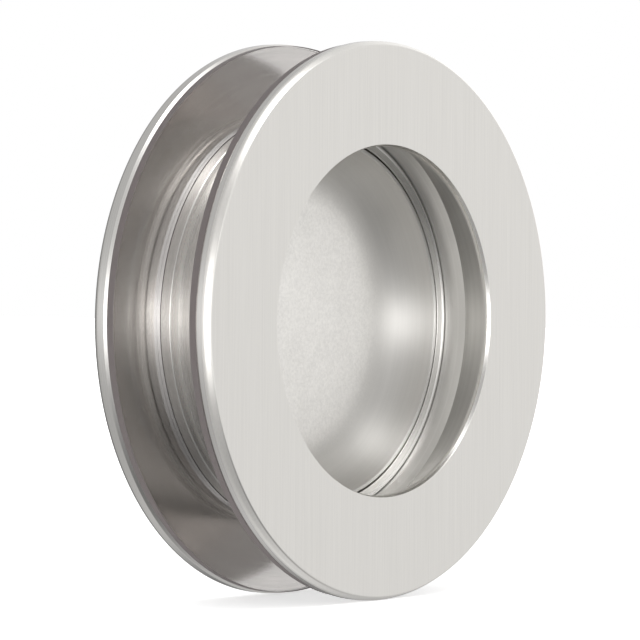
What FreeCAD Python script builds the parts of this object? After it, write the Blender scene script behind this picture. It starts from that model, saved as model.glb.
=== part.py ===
"""Round flush pull for a sliding glass door, clamped through a hole in the glass.

A front rose with an undercut finger opening screws onto a tube on the closed rear rose.
A pressed liner lies in the bottom of the cup, and a clear gasket on each rose bears on the glass.
The axis is Y, the finger opening faces -Y, and the origin is the centre of the glass in the hole.
"""
import FreeCAD
import Part

import math
import os

# Driving dimensions, in millimetres
GLASS_THICKNESS = 12.0        # clamped between the two gaskets
FLANGE_DIAMETER = 70.0        # of both roses
FLANGE_THICKNESS = 2.2
FLANGE_FACE_ROUND = 0.9       # rim edge on the show side
FLANGE_SEAT_CHAMFER = 0.35    # rim edge on the glass side

GASKET_THICKNESS = 1.0        # as compressed
GASKET_SETBACK = 0.2          # of its edge behind the flange's rim
GASKET_BORE_CLEARANCE = 0.3   # radial, around the sleeve or the boss

LIP_OVERHANG = 2.75           # of the lip over the bore behind it
LIP_ROUND = 0.55              # front edge of the lip
LIP_LAND = 0.9                # straight part of the lip, with its rounded edge
UNDERCUT_DEPTH = 5.9          # from the front face to where the undercut meets the bore

SLEEVE_DIAMETER = 52.0        # passes through the hole in the glass
SLEEVE_WALL = 1.4             # threaded inside towards the sleeve's end
SLEEVE_END_CHAMFER = 0.12
SLEEVE_GROOVE_WIDTH = 0.2     # turned line round the sleeve
SLEEVE_GROOVE_DEPTH = 0.12
SLEEVE_GROOVE_OFFSET = 1.9    # from the sleeve's end to the groove

BOSS_HEIGHT = 2.5             # shoulder on the rear rose that faces the sleeve's end
BOSS_CHAMFER = 0.12
TAKE_UP_GAP = 0.1             # left between boss and sleeve when the glass is clamped

TUBE_LENGTH = 7.0             # from the inner face of the rear rose
TUBE_WALL = 1.35
TUBE_END_ROUND = 0.35         # outer edge of the tube's end
TUBE_INNER_ROUND = 0.15       # inner edge of the tube's end
THREAD_CLEARANCE = 0.1        # radial, between the tube and the sleeve

LINER_SHEET = 0.5
LINER_RIM_DROP = 0.1          # of its rim below the tube's end
LINER_CORNER = 5.3            # inside radius between wall and floor
LINER_RIM_ROUND = 0.18
LINER_CLEARANCE = 0.25        # radial, inside the tube

# Places along the axis, from the front face to the rear face
CLAMP_HALF = GLASS_THICKNESS / 2
SEAT_HALF = CLAMP_HALF + GASKET_THICKNESS
FACE_HALF = SEAT_HALF + FLANGE_THICKNESS
BOSS_TOP = SEAT_HALF - BOSS_HEIGHT
SLEEVE_END = BOSS_TOP - TAKE_UP_GAP
TUBE_END = SEAT_HALF - TUBE_LENGTH
LINER_RIM = TUBE_END + LINER_RIM_DROP
LINER_FLOOR = SEAT_HALF - LINER_SHEET

# Radii worked out from the fits
FLANGE_RADIUS = FLANGE_DIAMETER / 2
SLEEVE_RADIUS = SLEEVE_DIAMETER / 2
BORE_RADIUS = SLEEVE_RADIUS - SLEEVE_WALL
OPENING_RADIUS = BORE_RADIUS - LIP_OVERHANG
TUBE_RADIUS = BORE_RADIUS - THREAD_CLEARANCE
TUBE_INNER_RADIUS = TUBE_RADIUS - TUBE_WALL
LINER_RADIUS = TUBE_INNER_RADIUS - LINER_CLEARANCE


def rounded_corner(before, corner, after, radius):
    """Tangent points and middle point of the arc that rounds one corner of a profile."""
    back = (before - corner).normalize()
    ahead = (after - corner).normalize()
    half_angle = back.getAngle(ahead) / 2
    reach = radius / math.tan(half_angle)
    start = corner + back * reach
    end = corner + ahead * reach
    towards_centre = (back + ahead).normalize()
    middle = corner + towards_centre * (radius / math.sin(half_angle) - radius)
    return start, middle, end


def turned(corners):
    """Solid of revolution about Y from a closed profile of (radius, y, corner round)."""
    points = [FreeCAD.Vector(r, y, 0) for r, y, _ in corners]
    edges = []
    ends = []
    for i, (_, _, round_radius) in enumerate(corners):
        corner = points[i]
        if round_radius == 0:
            ends.append((corner, corner))
            continue
        following = points[(i + 1) % len(points)]
        start, middle, end = rounded_corner(points[i - 1], corner, following, round_radius)
        edges.append(Part.Arc(start, middle, end).toShape())
        ends.append((start, end))
    for i, (start, _) in enumerate(ends):
        edges.append(Part.makeLine(ends[i - 1][1], start))
    wire = Part.Wire(Part.__sortEdges__(edges))
    axis_point = FreeCAD.Vector(0, 0, 0)
    axis = FreeCAD.Vector(0, 1, 0)
    return Part.Face(wire).revolve(axis_point, axis, 360)


def front_rose():
    """Front flange with the undercut lip and the sleeve behind it, turned in one piece."""
    groove_bottom = SLEEVE_RADIUS - SLEEVE_GROOVE_DEPTH
    groove_end = SLEEVE_END - SLEEVE_GROOVE_OFFSET
    groove_start = groove_end - SLEEVE_GROOVE_WIDTH
    return turned([
        (OPENING_RADIUS, -FACE_HALF, LIP_ROUND),
        (FLANGE_RADIUS, -FACE_HALF, FLANGE_FACE_ROUND),
        (FLANGE_RADIUS, -SEAT_HALF - FLANGE_SEAT_CHAMFER, 0),
        (FLANGE_RADIUS - FLANGE_SEAT_CHAMFER, -SEAT_HALF, 0),
        (SLEEVE_RADIUS, -SEAT_HALF, 0),
        (SLEEVE_RADIUS, groove_start, 0),
        (groove_bottom, groove_start, 0),
        (groove_bottom, groove_end, 0),
        (SLEEVE_RADIUS, groove_end, 0),
        (SLEEVE_RADIUS, SLEEVE_END - SLEEVE_END_CHAMFER, 0),
        (SLEEVE_RADIUS - SLEEVE_END_CHAMFER, SLEEVE_END, 0),
        (BORE_RADIUS + SLEEVE_END_CHAMFER, SLEEVE_END, 0),
        (BORE_RADIUS, SLEEVE_END - SLEEVE_END_CHAMFER, 0),
        (BORE_RADIUS, -FACE_HALF + UNDERCUT_DEPTH, 0),
        (OPENING_RADIUS, -FACE_HALF + LIP_LAND, 0),
    ])


def rear_rose():
    """Closed rear flange with the shoulder and the tube that screws into the sleeve."""
    return turned([
        (0, FACE_HALF, 0),
        (0, SEAT_HALF, 0),
        (TUBE_INNER_RADIUS, SEAT_HALF, 0),
        (TUBE_INNER_RADIUS, TUBE_END, TUBE_INNER_ROUND),
        (TUBE_RADIUS, TUBE_END, TUBE_END_ROUND),
        (TUBE_RADIUS, BOSS_TOP, 0),
        (SLEEVE_RADIUS - BOSS_CHAMFER, BOSS_TOP, 0),
        (SLEEVE_RADIUS, BOSS_TOP + BOSS_CHAMFER, 0),
        (SLEEVE_RADIUS, SEAT_HALF, 0),
        (FLANGE_RADIUS - FLANGE_SEAT_CHAMFER, SEAT_HALF, 0),
        (FLANGE_RADIUS, SEAT_HALF + FLANGE_SEAT_CHAMFER, 0),
        (FLANGE_RADIUS, FACE_HALF, FLANGE_FACE_ROUND),
    ])


def cup_liner():
    """Pressed pan with a wide round corner, seated on the inner face of the rear rose."""
    inside = LINER_RADIUS - LINER_SHEET
    corner = min(LINER_CORNER, LINER_FLOOR - LINER_RIM - LINER_RIM_ROUND)
    return turned([
        (0, SEAT_HALF, 0),
        (0, LINER_FLOOR, 0),
        (inside, LINER_FLOOR, corner),
        (inside, LINER_RIM, LINER_RIM_ROUND),
        (LINER_RADIUS, LINER_RIM, LINER_RIM_ROUND),
        (LINER_RADIUS, SEAT_HALF, corner + LINER_SHEET),
    ])


def gasket(glass_side, rose_side):
    """Flat ring between the glass and a rose, around the sleeve or the boss."""
    outside = FLANGE_RADIUS - GASKET_SETBACK
    inside = SLEEVE_RADIUS + GASKET_BORE_CLEARANCE
    return turned([
        (inside, glass_side, 0),
        (outside, glass_side, 0),
        (outside, rose_side, 0),
        (inside, rose_side, 0),
    ])


PIECES = {
    "front_rose": front_rose(),
    "rear_rose": rear_rose(),
    "cup_liner": cup_liner(),
    "front_gasket": gasket(-CLAMP_HALF, -SEAT_HALF),
    "rear_gasket": gasket(CLAMP_HALF, SEAT_HALF),
}

os.makedirs("parts", exist_ok=True)
for name, shape in PIECES.items():
    shape.exportStep(f"parts/{name}.step")
    print(f"{name}: {shape.Volume:.1f} mm3, valid {shape.isValid()}")
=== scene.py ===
import math

import bmesh
import bpy
from mathutils import Matrix, Vector


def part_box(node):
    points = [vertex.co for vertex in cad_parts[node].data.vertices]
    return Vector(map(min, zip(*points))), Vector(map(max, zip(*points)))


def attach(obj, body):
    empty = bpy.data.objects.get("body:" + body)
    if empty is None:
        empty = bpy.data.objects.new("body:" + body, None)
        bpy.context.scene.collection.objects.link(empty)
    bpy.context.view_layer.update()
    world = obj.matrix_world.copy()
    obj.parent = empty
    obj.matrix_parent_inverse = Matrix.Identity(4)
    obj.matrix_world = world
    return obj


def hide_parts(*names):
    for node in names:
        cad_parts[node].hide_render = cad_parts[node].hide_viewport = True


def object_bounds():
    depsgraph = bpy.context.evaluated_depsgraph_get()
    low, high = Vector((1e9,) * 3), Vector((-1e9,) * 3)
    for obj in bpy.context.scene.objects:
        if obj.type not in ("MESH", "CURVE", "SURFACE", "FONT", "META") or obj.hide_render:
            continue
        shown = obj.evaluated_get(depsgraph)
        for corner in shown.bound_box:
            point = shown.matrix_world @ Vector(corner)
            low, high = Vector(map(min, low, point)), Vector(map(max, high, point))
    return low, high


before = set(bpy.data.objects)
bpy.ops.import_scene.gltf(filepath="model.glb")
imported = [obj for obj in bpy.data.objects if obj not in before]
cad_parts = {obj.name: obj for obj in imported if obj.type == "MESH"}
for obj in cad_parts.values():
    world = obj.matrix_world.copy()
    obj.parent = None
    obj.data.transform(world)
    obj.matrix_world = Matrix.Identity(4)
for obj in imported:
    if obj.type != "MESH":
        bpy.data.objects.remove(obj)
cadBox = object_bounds()
scene = bpy.context.scene
mm = 0.001
print("frame loaded:", ", ".join(sorted(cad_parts)))


def nodeBox(name):  # radius, lowest y and highest y of a turned node, in mm
    low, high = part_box(name)
    return high.x / mm, low.y / mm, high.y / mm


# Node helpers

def addNode(tree, kind, **settings):
    node = tree.nodes.new(kind)
    for name, value in settings.items():
        setattr(node, name, value)
    return node


def feed(tree, socket, value):  # link an output, or set a plain value
    if isinstance(value, bpy.types.NodeSocket):
        tree.links.new(value, socket)
    else:
        socket.default_value = value


def calc(tree, operation, a, b=0.0):
    node = addNode(tree, "ShaderNodeMath", operation=operation)
    feed(tree, node.inputs[0], a)
    feed(tree, node.inputs[1], b)
    return node.outputs[0]


def spread(tree, value, low, high, newLow=0.0, newHigh=1.0, smooth=False):
    node = addNode(tree, "ShaderNodeMapRange", clamp=True)
    node.interpolation_type = "SMOOTHSTEP" if smooth else "LINEAR"
    feed(tree, node.inputs["Value"], value)
    limits = {"From Min": low, "From Max": high, "To Min": newLow, "To Max": newHigh}
    for name, number in limits.items():
        node.inputs[name].default_value = number
    return node.outputs["Result"]


# Material helpers

noiseSpan = (0.3, 0.7)  # where nearly all of a noise lies
fullSpan = (0.0, 1.0)
hairline = {"detail": 3.0, "roughness": 0.6}  # noise of fine lines


def startMaterial(name):
    material = bpy.data.materials.new(name)
    material.use_nodes = True
    tree = material.node_tree
    shader = tree.nodes["Principled BSDF"]
    place = addNode(tree, "ShaderNodeTexCoord").outputs["Object"]
    return material, tree, shader, place


def grain(tree, place, scale, detail=2.0, roughness=0.5):  # noise stretched by a scale per metre
    mapping = addNode(tree, "ShaderNodeMapping")
    mapping.inputs["Scale"].default_value = scale
    tree.links.new(place, mapping.inputs["Vector"])
    noise = addNode(tree, "ShaderNodeTexNoise")
    noise.inputs["Scale"].default_value = 1.0
    noise.inputs["Detail"].default_value = detail
    noise.inputs["Roughness"].default_value = roughness
    tree.links.new(mapping.outputs["Vector"], noise.inputs["Vector"])
    return noise.outputs["Fac"]


def blend(tree, first, second, share, rest):  # a share of the second pattern, and the rest of the first
    return calc(tree, "ADD", calc(tree, "MULTIPLY", first, rest), calc(tree, "MULTIPLY", second, share))


def ringPlace(tree, place):  # radius, and (radius, y, 0) so that a pattern runs round the turning axis
    parts = addNode(tree, "ShaderNodeSeparateXYZ")
    tree.links.new(place, parts.inputs[0])
    square = calc(tree, "ADD", calc(tree, "POWER", parts.outputs["X"], 2.0),
                  calc(tree, "POWER", parts.outputs["Z"], 2.0))
    radius = calc(tree, "SQRT", square)
    rings = addNode(tree, "ShaderNodeCombineXYZ")
    tree.links.new(radius, rings.inputs["X"])
    tree.links.new(parts.outputs["Y"], rings.inputs["Y"])
    return radius, rings.outputs["Vector"]


def tint(tree, shader, look, amount):
    mix = addNode(tree, "ShaderNodeMix", data_type="RGBA")
    feed(tree, mix.inputs["Factor"], amount)
    mix.inputs["A"].default_value = (*look["dark"], 1.0)
    mix.inputs["B"].default_value = (*look["light"], 1.0)
    tree.links.new(mix.outputs["Result"], shader.inputs["Base Color"])


def bumps(tree, shader, look, height):
    node = addNode(tree, "ShaderNodeBump")
    node.inputs["Strength"].default_value = look["strength"]
    node.inputs["Distance"].default_value = look["depth"]
    tree.links.new(height, node.inputs["Height"])
    tree.links.new(node.outputs["Normal"], shader.inputs["Normal"])


# Brushed steel of the show faces
brushedLook = {
    "dark": (0.726, 0.709, 0.678), "light": (0.780, 0.763, 0.730),
    "fine": (5200.0, 5200.0, 60.0),  # hairlines, up and down
    "broad": (700.0, 700.0, 18.0),   # slow streaks
    "broadShare": 0.15,
    "roughness": (0.31, 0.33), "depth": 0.004 * mm, "strength": 0.3,
}


def brushedSteel(look):
    material, tree, shader, place = startMaterial("brushedSteel")
    fine = grain(tree, place, look["fine"], **hairline)
    broad = grain(tree, place, look["broad"])
    streaks = blend(tree, fine, broad, look["broadShare"], 1 - look["broadShare"])
    tint(tree, shader, look, spread(tree, streaks, *noiseSpan))
    tree.links.new(spread(tree, broad, *noiseSpan, *look["roughness"]), shader.inputs["Roughness"])
    bumps(tree, shader, look, fine)
    shader.inputs["Metallic"].default_value = 1.0
    return material


# Steel with fine lines round the axis: rims and hub, bore, the cone under the lip, and inner faces of the
# flanges; the cone under the lip gets a darker copy as painted shade
turnedLook = {
    "dark": (0.660, 0.646, 0.622), "light": (0.735, 0.721, 0.697),
    "rings": (5200.0, 5200.0, 1.0),
    "cloud": (160.0, 160.0, 160.0),
    "roughness": (0.14, 0.22), "depth": 0.003 * mm, "strength": 0.4,
}
satinLook = {
    **turnedLook, "dark": (0.700, 0.693, 0.676), "light": (0.775, 0.768, 0.751),
    "rings": (3000.0, 3000.0, 1.0), "roughness": (0.34, 0.42),
}
# a darker copy of the satin steel for the cone and land under the lip: painted shade of that recess
undercutShadeLook = {**satinLook, "dark": (0.565, 0.559, 0.542), "light": (0.625, 0.619, 0.602)}
polishedLook = {
    "dark": (0.660, 0.645, 0.622), "light": (0.730, 0.714, 0.690),
    "rings": (3800.0, 3800.0, 1.0),
    "cloud": (120.0, 120.0, 120.0),
    "roughness": (0.12, 0.18), "depth": 0.002 * mm, "strength": 0.2,
}


def ringedSteel(name, look):
    material, tree, shader, place = startMaterial(name)
    _, ringed = ringPlace(tree, place)
    rings = grain(tree, ringed, look["rings"], **hairline)
    cloud = grain(tree, place, look["cloud"])
    tint(tree, shader, look, spread(tree, rings, *noiseSpan))
    tree.links.new(spread(tree, cloud, *noiseSpan, *look["roughness"]), shader.inputs["Roughness"])
    bumps(tree, shader, look, rings)
    shader.inputs["Metallic"].default_value = 1.0
    return material


# Steel of the liner: a matte floor, with a spun corner and wall
blastedLook = {
    "dark": (0.665, 0.651, 0.626), "light": (0.830, 0.814, 0.785), "tintSpan": (0.25, 0.75),
    "speckle": (3000.0, 3000.0, 3000.0), "speckleRoughness": 0.6,
    "cloud": (260.0, 260.0, 260.0), "cloudShare": 0.25,
    "rings": (2600.0, 2600.0, 1.0), "ringSpan": (0.35, 0.6),
    "floorEdge": (14.6 * mm, 20.8 * mm),                 # radii where the floor ends and the corner begins
    "metallic": (0.0, 0.93), "roughness": (0.75, 0.42),  # of the floor and of the corner
    "gloss": 0.2, "depth": 0.02 * mm, "strength": 0.3,
    "spin": 1.0, "spinTurn": 0.25,                       # light spreads across the spun lines
}


def blastedSteel(look):
    material, tree, shader, place = startMaterial("blastedSteel")
    radius, ringed = ringPlace(tree, place)
    corner = spread(tree, radius, *look["floorEdge"], smooth=True)
    speckle = grain(tree, place, look["speckle"], roughness=look["speckleRoughness"])
    cloud = grain(tree, place, look["cloud"])
    rings = grain(tree, ringed, look["rings"], **hairline)
    mottle = blend(tree, speckle, cloud, look["cloudShare"], 1 - look["cloudShare"])
    flat = calc(tree, "SUBTRACT", 1.0, corner)
    lines = spread(tree, rings, *fullSpan, *look["ringSpan"])
    pattern = blend(tree, mottle, lines, corner, flat)
    tint(tree, shader, look, spread(tree, pattern, *look["tintSpan"]))
    tree.links.new(spread(tree, corner, *fullSpan, *look["metallic"]), shader.inputs["Metallic"])
    tree.links.new(spread(tree, corner, *fullSpan, *look["roughness"]), shader.inputs["Roughness"])
    bumps(tree, shader, look, calc(tree, "MULTIPLY", speckle, flat))
    turnedWay = addNode(tree, "ShaderNodeTangent", direction_type="RADIAL", axis="Y")
    tree.links.new(turnedWay.outputs["Tangent"], shader.inputs["Tangent"])
    shader.inputs["Specular IOR Level"].default_value = look["gloss"]
    shader.inputs["Anisotropic"].default_value = look["spin"]
    shader.inputs["Anisotropic Rotation"].default_value = look["spinTurn"]
    return material


# Vinyl of the gaskets: clear, with a frosted outer edge whose dark brown colour is painted shade of the gap
# between the flanges
vinylLook = {
    "colour": (1.0, 1.0, 1.0), "transmission": 1.0, "ior": 1.5,
    "smoke": (0.70, 0.60, 0.61), "smokeDensity": 80.0,
    "ripple": (420.0, 420.0, 420.0),
    "roughness": (0.03, 0.06), "depth": 0.004 * mm, "strength": 0.1,
}
# the cut edge's dark colour is painted shade of the gap between the flanges
cutVinylShadeLook = {
    **vinylLook, "colour": (0.178, 0.153, 0.151), "transmission": 0.4,
    "ripple": (900.0, 900.0, 900.0), "roughness": (0.40, 0.55),
}


def clearVinyl(name, look):
    material, tree, shader, place = startMaterial(name)
    ripple = grain(tree, place, look["ripple"])
    tree.links.new(spread(tree, ripple, *noiseSpan, *look["roughness"]), shader.inputs["Roughness"])
    bumps(tree, shader, look, ripple)
    shader.inputs["Base Color"].default_value = (*look["colour"], 1.0)
    shader.inputs["Transmission Weight"].default_value = look["transmission"]
    shader.inputs["IOR"].default_value = look["ior"]
    smoke = addNode(tree, "ShaderNodeVolumeAbsorption")
    smoke.inputs["Color"].default_value = (*look["smoke"], 1.0)
    smoke.inputs["Density"].default_value = look["smokeDensity"]
    tree.links.new(smoke.outputs["Volume"], tree.nodes["Material Output"].inputs["Volume"])
    return material


brushed = brushedSteel(brushedLook)
turned = ringedSteel("turnedSteel", turnedLook)
polished = ringedSteel("polishedSteel", polishedLook)
satin = ringedSteel("satinSteel", satinLook)
undercutShade = ringedSteel("undercutShadeSteel", undercutShadeLook)
blasted = blastedSteel(blastedLook)
vinyl = clearVinyl("clearVinyl", vinylLook)
cutVinylShade = clearVinyl("cutVinylShade", cutVinylShadeLook)
made = (brushed, turned, polished, satin, undercutShade, blasted, vinyl, cutVinylShade)
print("materials made:", ", ".join(material.name for material in made))

# Lathe: a Geometry Nodes tree turns a section, held as a line of points, round the Y axis
latheLook = {
    "segments": 320,
    "roundSteps": 10, "smallRound": 0.12, "smallSteps": 3,
    "guard": 0.03, "guardRoom": 6,  # mm, and how many of it a run needs to be guarded
    "weld": 0.0008 * mm,
    "sharpAngle": math.radians(32),
}
finishCount = 5  # finishes that one piece can have
onAxis = 0.0     # radius of a point on the axis
sharp = 0.0      # round of a plain corner


def latheTree():
    tree = bpy.data.node_groups.new("lathe", "GeometryNodeTree")
    face = tree.interface
    face.new_socket("Section", in_out="INPUT", socket_type="NodeSocketGeometry")
    face.new_socket("Segments", in_out="INPUT", socket_type="NodeSocketInt")
    face.new_socket("Weld", in_out="INPUT", socket_type="NodeSocketFloat")
    for finish in range(finishCount):
        face.new_socket(f"Finish {finish}", in_out="INPUT", socket_type="NodeSocketMaterial")
    face.new_socket("Piece", in_out="OUTPUT", socket_type="NodeSocketGeometry")
    source = addNode(tree, "NodeGroupInput").outputs
    result = addNode(tree, "NodeGroupOutput").inputs

    def whole(operation, a, b):
        node = addNode(tree, "FunctionNodeIntegerMath", operation=operation)
        feed(tree, node.inputs[0], a)
        feed(tree, node.inputs[1], b)
        return node.outputs[0]

    def fromSection(kind, value, index):
        node = addNode(tree, "GeometryNodeSampleIndex", data_type=kind, domain="POINT")
        tree.links.new(source["Section"], node.inputs["Geometry"])
        tree.links.new(value, node.inputs["Value"])
        tree.links.new(index, node.inputs["Index"])
        return node.outputs["Value"]

    size = addNode(tree, "GeometryNodeAttributeDomainSize", component="MESH")
    tree.links.new(source["Section"], size.inputs["Geometry"])
    count = size.outputs["Point Count"]
    index = addNode(tree, "GeometryNodeInputIndex").outputs["Index"]
    sheet = addNode(tree, "GeometryNodeMeshGrid")
    tree.links.new(whole("ADD", source["Segments"], 1), sheet.inputs["Vertices X"])
    tree.links.new(count, sheet.inputs["Vertices Y"])

    # each face keeps the finish of its run of the section
    runFinish = addNode(tree, "GeometryNodeInputNamedAttribute", data_type="INT")
    runFinish.inputs["Name"].default_value = "finish"
    faceRun = whole("MODULO", index, whole("SUBTRACT", count, 1))
    keep = addNode(tree, "GeometryNodeStoreNamedAttribute", data_type="INT", domain="FACE")
    keep.inputs["Name"].default_value = "finish"
    tree.links.new(sheet.outputs["Mesh"], keep.inputs["Geometry"])
    tree.links.new(fromSection("INT", runFinish.outputs["Attribute"], faceRun), keep.inputs["Value"])

    # each column of the grid is the section, turned by its share of a full circle
    position = addNode(tree, "GeometryNodeInputPosition").outputs["Position"]
    point = fromSection("FLOAT_VECTOR", position, whole("MODULO", index, count))
    step = calc(tree, "DIVIDE", math.tau, source["Segments"])
    angle = calc(tree, "MULTIPLY", whole("DIVIDE_FLOOR", index, count), step)
    spin = addNode(tree, "ShaderNodeVectorRotate", rotation_type="Y_AXIS")
    tree.links.new(point, spin.inputs["Vector"])
    tree.links.new(angle, spin.inputs["Angle"])
    move = addNode(tree, "GeometryNodeSetPosition")
    tree.links.new(keep.outputs["Geometry"], move.inputs["Geometry"])
    tree.links.new(spin.outputs["Vector"], move.inputs["Position"])

    weld = addNode(tree, "GeometryNodeMergeByDistance")
    tree.links.new(move.outputs["Geometry"], weld.inputs["Geometry"])
    tree.links.new(source["Weld"], weld.inputs["Distance"])
    shade = addNode(tree, "GeometryNodeSetShadeSmooth")
    tree.links.new(weld.outputs["Geometry"], shade.inputs["Geometry"])
    real = addNode(tree, "GeometryNodeRealizeInstances")
    tree.links.new(shade.outputs["Geometry"], real.inputs["Geometry"])
    last = real.outputs["Geometry"]
    for finish in range(finishCount):
        chosen = addNode(tree, "FunctionNodeCompare", data_type="INT", operation="EQUAL")
        ints = [s for s in chosen.inputs if s.type == "INT"]
        tree.links.new(runFinish.outputs["Attribute"], ints[0])
        ints[1].default_value = finish
        wear = addNode(tree, "GeometryNodeSetMaterial")
        tree.links.new(last, wear.inputs["Geometry"])
        tree.links.new(chosen.outputs["Result"], wear.inputs["Selection"])
        tree.links.new(source[f"Finish {finish}"], wear.inputs["Material"])
        last = wear.outputs["Geometry"]
    tree.links.new(last, result["Piece"])
    return tree


lathe = latheTree()


def roundCorner(before, corner, after, radius):  # points of the arc that rounds a corner
    steps = latheLook["roundSteps"] if radius > latheLook["smallRound"] else latheLook["smallSteps"]
    back = (before - corner).normalized()
    ahead = (after - corner).normalized()
    half = back.angle(ahead) / 2
    reach = radius / math.tan(half)
    centre = corner + (back + ahead).normalized() * (radius / math.sin(half))
    start = corner + back * reach - centre
    end = corner + ahead * reach - centre
    sweep = start.angle_signed(end)
    return [centre + Matrix.Rotation(-sweep * i / steps, 2) @ start for i in range(steps + 1)]


def sectionPoints(corners, closed, edgeFinish):  # points of a section, each with the finish that follows it
    places = [Vector(corner[:2]) for corner in corners]
    arcs = []
    for i, (_, _, radius, _) in enumerate(corners):
        if radius == sharp:
            arcs.append([places[i]])
            continue
        after = places[(i + 1) % len(places)]
        arcs.append(roundCorner(places[i - 1], places[i], after, radius))
    guard, guardRoom = latheLook["guard"], latheLook["guardRoom"]
    line = []
    for i, arc in enumerate(arcs):
        finish = corners[i][3]
        line += [(point, edgeFinish) for point in arc[:-1]]
        line.append((arc[-1], finish))
        following = arcs[(i + 1) % len(arcs)][0]
        run = following - arc[-1]
        last = i == len(arcs) - 1
        if run.length > guardRoom * guard and (closed or not last):
            inset = run.normalized() * guard  # keeps the shading of flat runs flat
            line.append((arc[-1] + inset, finish))
            line.append((following - inset, finish))
    if closed:
        line.append(line[0])
    return line


def turn(name, corners, finishes, edgeFinish, closed=True):
    # corners are (radius, y, round, finish of the run that follows), in mm
    # the rounds have the edge's finish
    line = sectionPoints(corners, closed, edgeFinish)
    section = bpy.data.meshes.new(name + "Section")
    points = [(p.x * mm, p.y * mm, 0.0) for p, _ in line]
    section.from_pydata(points, [(i, i + 1) for i in range(len(points) - 1)], [])
    attribute = section.attributes.new("finish", "INT", "POINT")
    attribute.data.foreach_set("value", [finishes.index(finish) for _, finish in line])
    blank = bpy.data.objects.new(name + "Section", section)
    scene.collection.objects.link(blank)
    modifier = blank.modifiers.new("lathe", "NODES")
    modifier.node_group = lathe
    sockets = {s.name: s.identifier for s in lathe.interface.items_tree if s.in_out == "INPUT"}
    modifier[sockets["Segments"]] = latheLook["segments"]
    modifier[sockets["Weld"]] = latheLook["weld"]
    for i in range(finishCount):
        modifier[sockets[f"Finish {i}"]] = finishes[min(i, len(finishes) - 1)]
    graph = bpy.context.evaluated_depsgraph_get()
    mesh = bpy.data.meshes.new_from_object(blank.evaluated_get(graph), depsgraph=graph)
    bpy.data.objects.remove(blank)
    mesh.name = name
    mesh.attributes.remove(mesh.attributes["finish"])
    work = bmesh.new()
    work.from_mesh(mesh)
    bmesh.ops.remove_doubles(work, verts=work.verts, dist=latheLook["weld"])
    bmesh.ops.recalc_face_normals(work, faces=work.faces)
    for edge in work.edges:
        edge.smooth = edge.calc_face_angle(0.0) < latheLook["sharpAngle"]
    for polygon in work.faces:
        polygon.smooth = True
    work.to_mesh(mesh)
    work.free()
    piece = bpy.data.objects.new(name, mesh)
    scene.collection.objects.link(piece)
    print(f"turned {name}: {len(line)} section points, {len(mesh.polygons)} faces")
    return piece


# Places that the pieces share, in mm
flange, frontFace, sleeveEnd = nodeBox("front_rose")
_, tubeEnd, rearFace = nodeBox("rear_rose")
_, frontSeat, frontGlass = nodeBox("front_gasket")
_, rearGlass, rearSeat = nodeBox("rear_gasket")
linerRadius, linerRim, linerBack = nodeBox("cup_liner")

# Front rose
frontRoseLook = {
    "rim": (0.42, 0.82), "rimBlend": 1.3, "rimEdge": 0.3, "seatChamfer": 0.35,
    "opening": 21.85, "lip": (0.23, 0.55), "lipBlend": 0.8, "lipLand": 0.9, "undercutDepth": 5.9,
    "sleeve": 26.0, "bore": 24.6, "endChamfer": 0.12,
    "grooveOffset": 1.9, "grooveWidth": 0.2, "grooveDepth": 0.12,
    "easing": (0.1, 0.9), "easingBlend": 5.0,  # the sleeve eases down to the groove
    "edgeBreak": 0.04,
}


def frontRose(look):
    sleeve, bore, chamfer, edge = look["sleeve"], look["bore"], look["endChamfer"], look["edgeBreak"]
    opening, (lipIn, lipDepth), (rimIn, rimDepth) = look["opening"], look["lip"], look["rim"]
    grooveFar = sleeveEnd - look["grooveOffset"]
    grooveNear = grooveFar - look["grooveWidth"]
    grooveFloor = sleeve - look["grooveDepth"]
    easeIn, easeLong = look["easing"]
    return turn("frontRose", [
        (opening, frontFace + lipDepth, look["lipBlend"], turned),
        (opening + lipIn, frontFace, edge, brushed),
        (flange - rimIn, frontFace, look["rimEdge"], brushed),
        (flange, frontFace + rimDepth, look["rimBlend"], turned),
        (flange, frontSeat - look["seatChamfer"], edge, turned),
        (flange - look["seatChamfer"], frontSeat, edge, polished),
        (sleeve, frontSeat, sharp, turned),
        (sleeve, grooveNear, edge, turned),
        (grooveFloor, grooveNear, sharp, turned),
        (grooveFloor, grooveFar, sharp, turned),
        (sleeve - easeIn, grooveFar, sharp, turned),
        (sleeve, grooveFar + easeLong, look["easingBlend"], turned),
        (sleeve, sleeveEnd - chamfer, edge, turned),
        (sleeve - chamfer, sleeveEnd, edge, turned),
        (bore + chamfer, sleeveEnd, edge, turned),
        (bore, sleeveEnd - chamfer, edge, satin),
        # the cone and the land under the lip take the darker steel copy: painted shade
        (bore, frontFace + look["undercutDepth"], sharp, undercutShade),
        (opening, frontFace + look["lipLand"], edge, undercutShade),
    ], [brushed, turned, polished, satin, undercutShade], edgeFinish=brushed)


# Rear rose
rearRoseLook = {
    "faceRound": 0.9, "seatChamfer": 0.35,
    "boss": 26.0, "bossHeight": 2.5, "bossChamfer": 0.12,
    "easing": (0.12, 1.7), "easingBlend": 9.0,  # the boss eases down to its top
    "tube": 24.5, "tubeInside": 23.15, "tubeInnerRound": 0.12,
    "tubeStep": (0.42, 0.16), "tubeStepRound": 0.1,
    "edgeBreak": 0.04,
}


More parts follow.
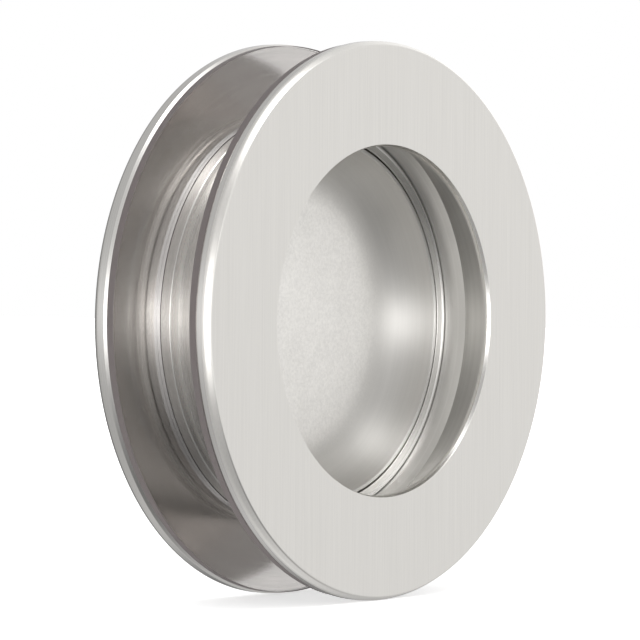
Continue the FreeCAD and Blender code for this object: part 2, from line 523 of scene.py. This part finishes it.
def rearRose(look):
    boss, chamfer, edge = look["boss"], look["bossChamfer"], look["edgeBreak"]
    tube, tubeInside, (stepIn, stepDepth) = look["tube"], look["tubeInside"], look["tubeStep"]
    bossTop = rearSeat - look["bossHeight"]
    easeIn, easeLong = look["easing"]
    return turn("rearRose", [
        (onAxis, rearSeat, sharp, polished),
        (tubeInside, rearSeat, sharp, turned),
        (tubeInside, tubeEnd + stepDepth, look["tubeInnerRound"], turned),
        (tube - stepIn, tubeEnd + stepDepth, look["tubeStepRound"], turned),
        (tube - stepIn + stepDepth, tubeEnd, edge, turned),
        (tube, tubeEnd, edge, turned),
        (tube, bossTop, sharp, turned),
        (boss - easeIn - chamfer, bossTop, edge, turned),
        (boss - easeIn, bossTop + chamfer, edge, turned),
        (boss, bossTop + easeLong, look["easingBlend"], turned),
        (boss, rearSeat, sharp, polished),
        (flange - look["seatChamfer"], rearSeat, edge, turned),
        (flange, rearSeat + look["seatChamfer"], edge, turned),
        (flange, rearFace, look["faceRound"], brushed),
        (onAxis, rearFace, sharp, brushed),
    ], [brushed, turned, polished], edgeFinish=turned, closed=False)


# Cup liner
linerLook = {"sheet": 0.5, "corner": 5.3, "rimRound": 0.18, "seatGap": 0.01}


def cupLiner(look):
    sheet, corner = look["sheet"], look["corner"]
    back = linerBack - look["seatGap"]
    return turn("cupLiner", [
        (onAxis, back - sheet, sharp, blasted),
        (linerRadius - sheet, back - sheet, corner, blasted),
        (linerRadius - sheet, linerRim, look["rimRound"], blasted),
        (linerRadius, linerRim, look["rimRound"], blasted),
        (linerRadius, back, corner + sheet, blasted),
        (onAxis, back, sharp, blasted),
    ], [blasted], edgeFinish=blasted, closed=False)


# Gaskets
gasketLook = {"inside": 26.06, "seatGap": 0.02, "edgeBreak": 0.08}


def gasket(look, name, node, glassSide, roseSide):
    inside, outside, edge = look["inside"], nodeBox(node)[0], look["edgeBreak"]
    seat = roseSide + math.copysign(look["seatGap"], glassSide - roseSide)
    return turn(name, [
        (inside, glassSide, sharp, vinyl),
        # the outer edge takes the dark cut vinyl: painted shade
        (outside, glassSide, edge, cutVinylShade),
        (outside, seat, edge, vinyl),
        (inside, seat, sharp, vinyl),
    ], [vinyl, cutVinylShade], edgeFinish=cutVinylShade)


pieces = {
    "front_rose": (frontRose(frontRoseLook), "satin_steel"),
    "rear_rose": (rearRose(rearRoseLook), "satin_steel"),
    "cup_liner": (cupLiner(linerLook), "blasted_steel"),
    "front_gasket": (gasket(gasketLook, "frontGasket", "front_gasket", frontGlass, frontSeat),
                     "clear_vinyl"),
    "rear_gasket": (gasket(gasketLook, "rearGasket", "rear_gasket", rearGlass, rearSeat),
                    "clear_vinyl"),
}
for node, (piece, slotName) in pieces.items():
    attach(piece, "root")
    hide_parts(node)
print("pieces ride on root:", ", ".join(piece.name for piece, _ in pieces.values()))

# Floor
floorLook = {"half": 1.5, "colour": (0.90, 0.90, 0.90), "roughness": 0.9, "glow": 0.55}


def studioFloor(look):
    material, _, shader, _ = startMaterial("paleFloor")
    shader.inputs["Base Color"].default_value = (*look["colour"], 1.0)
    shader.inputs["Roughness"].default_value = look["roughness"]
    shader.inputs["Specular IOR Level"].default_value = 0.0
    shader.inputs["Emission Color"].default_value = (1.0, 1.0, 1.0, 1.0)
    shader.inputs["Emission Strength"].default_value = look["glow"]
    half, level = look["half"], cadBox[0].z
    corners = [(-half, -half, level), (half, -half, level), (half, half, level), (-half, half, level)]
    mesh = bpy.data.meshes.new("floor")
    mesh.from_pydata(corners, [], [(0, 1, 2, 3)])
    mesh.materials.append(material)
    floor = bpy.data.objects.new("floor", mesh)
    scene.collection.objects.link(floor)
    floor.visible_glossy = False
    floor.visible_transmission = False
    print(f"floor laid at {level:.3f} m")


studioFloor(floorLook)

# Light: a plain surround, soft lamps in it, and screens that take light away
worldLook = {"level": 0.57, "rise": 0.065, "darkest": 0.22}
softLights = {  # azimuth from the front towards +X, elevation and half width in degrees, strength
    "front": (16.0, -1.0, 14.0, 0.5),
    "frontFill": (10.0, 10.0, 45.0, 0.31),
    "nearFront": (-18.0, 1.0, 12.0, 1.0),
    "nearCamera": (-37.0, 1.0, 9.0, 2.4),
    "nearLeft": (-62.0, 1.0, 8.0, 0.2),
    "left": (-79.0, 1.7, 12.0, 4.6),
    "farLeft": (-118.0, 2.3, 14.0, 0.65),
    "top": (-13.0, 75.0, 13.0, 5.8),
    "below": (150.0, -68.0, 24.0, 0.5),
    "frontRight": (56.0, 0.0, 26.0, 0.07),
    "right": (98.0, 12.0, 24.0, 1.15),
    "lowScreen": (-8.0, -42.0, 26.0, -0.45),
    "rearScreen": (154.5, -11.0, 28.6, -0.7),
}


def studioWorld(look, lights):
    world = bpy.data.worlds.new("studio")
    world.use_nodes = True
    scene.world = world
    tree = world.node_tree
    towards = addNode(tree, "ShaderNodeTexCoord").outputs["Generated"]
    parts = addNode(tree, "ShaderNodeSeparateXYZ")
    tree.links.new(towards, parts.inputs[0])
    total = calc(tree, "ADD", calc(tree, "MULTIPLY", parts.outputs["Z"], look["rise"]), look["level"])
    for azimuth, elevation, halfWidth, strength in lights.values():
        around, upward = math.radians(azimuth), math.radians(elevation)
        facing = addNode(tree, "ShaderNodeVectorMath", operation="DOT_PRODUCT")
        tree.links.new(towards, facing.inputs[0])
        facing.inputs[1].default_value = (math.sin(around) * math.cos(upward),
                                          -math.cos(around) * math.cos(upward), math.sin(upward))
        narrow = math.log(2) / (1 - math.cos(math.radians(halfWidth)))  # half strength at the half width
        off = calc(tree, "MULTIPLY", calc(tree, "SUBTRACT", facing.outputs["Value"], 1.0), narrow)
        total = calc(tree, "ADD", total, calc(tree, "MULTIPLY", calc(tree, "EXPONENT", off), strength))
    total = calc(tree, "MAXIMUM", total, look["darkest"])
    seen = addNode(tree, "ShaderNodeLightPath").outputs["Is Camera Ray"]  # the backdrop itself is white
    hidden = calc(tree, "MULTIPLY", total, calc(tree, "SUBTRACT", 1.0, seen))
    shader = tree.nodes["Background"]
    shader.inputs["Color"].default_value = (1.0, 1.0, 1.0, 1.0)
    tree.links.new(calc(tree, "ADD", hidden, seen), shader.inputs["Strength"])
    print("lamps and screens:", ", ".join(lights))


studioWorld(worldLook, softLights)
scene.view_settings.view_transform = "Standard"
scene.cycles.max_bounces = 24           # light passes many times between the flanges
scene.cycles.glossy_bounces = 16
scene.cycles.transmission_bounces = 16

# Camera, from the round edges in the picture
cameraLook = {
    "yaw": 52.76, "pitch": 1.0, "roll": -0.365,  # degrees
    "aimDepth": 0.67, "distance": 493.7,         # mm, behind the front face and from there to the lens
    "pixelsPerRadius": 279.51, "offCentre": (63.49, 1.01), "picture": 640,  # pixels
    "sensor": 36.0,                              # mm
    "clip": (0.05, 20.0),                        # m
}


def studioCamera(look):
    yaw, pitch, roll = (math.radians(look[name]) for name in ("yaw", "pitch", "roll"))
    across = Vector((math.cos(yaw), -math.sin(yaw), 0))
    level = Vector((-math.sin(yaw), -math.cos(yaw), 0))
    towards = level * math.cos(pitch) + Vector((0, 0, 1)) * math.sin(pitch)
    above = Vector((0, 0, 1)) * math.cos(pitch) - level * math.sin(pitch)
    right = across * math.cos(roll) - above * math.sin(roll)
    upward = across * math.sin(roll) + above * math.cos(roll)
    origin = Vector((0, frontFace + look["aimDepth"], 0)) * mm
    place = origin + towards * look["distance"] * mm
    pixel = flange * mm / look["pixelsPerRadius"]
    aim = origin - right * look["offCentre"][0] * pixel + upward * look["offCentre"][1] * pixel
    back = (place - aim).normalized()
    right = (right - back * right.dot(back)).normalized()
    upward = back.cross(right)
    camera = bpy.data.objects.new("camera", bpy.data.cameras.new("camera"))
    turnTo = Matrix((right, upward, back)).transposed().to_4x4()
    camera.matrix_world = Matrix.Translation(place) @ turnTo
    camera.data.sensor_width = look["sensor"]
    focus = look["pixelsPerRadius"] * look["distance"] / flange  # in pixels
    camera.data.lens = focus * look["sensor"] / look["picture"]
    camera.data.clip_start, camera.data.clip_end = look["clip"]
    scene.collection.objects.link(camera)
    scene.camera = camera
    print(f"camera at {[round(c, 4) for c in place]}, lens {camera.data.lens:.1f} mm")


studioCamera(cameraLook)
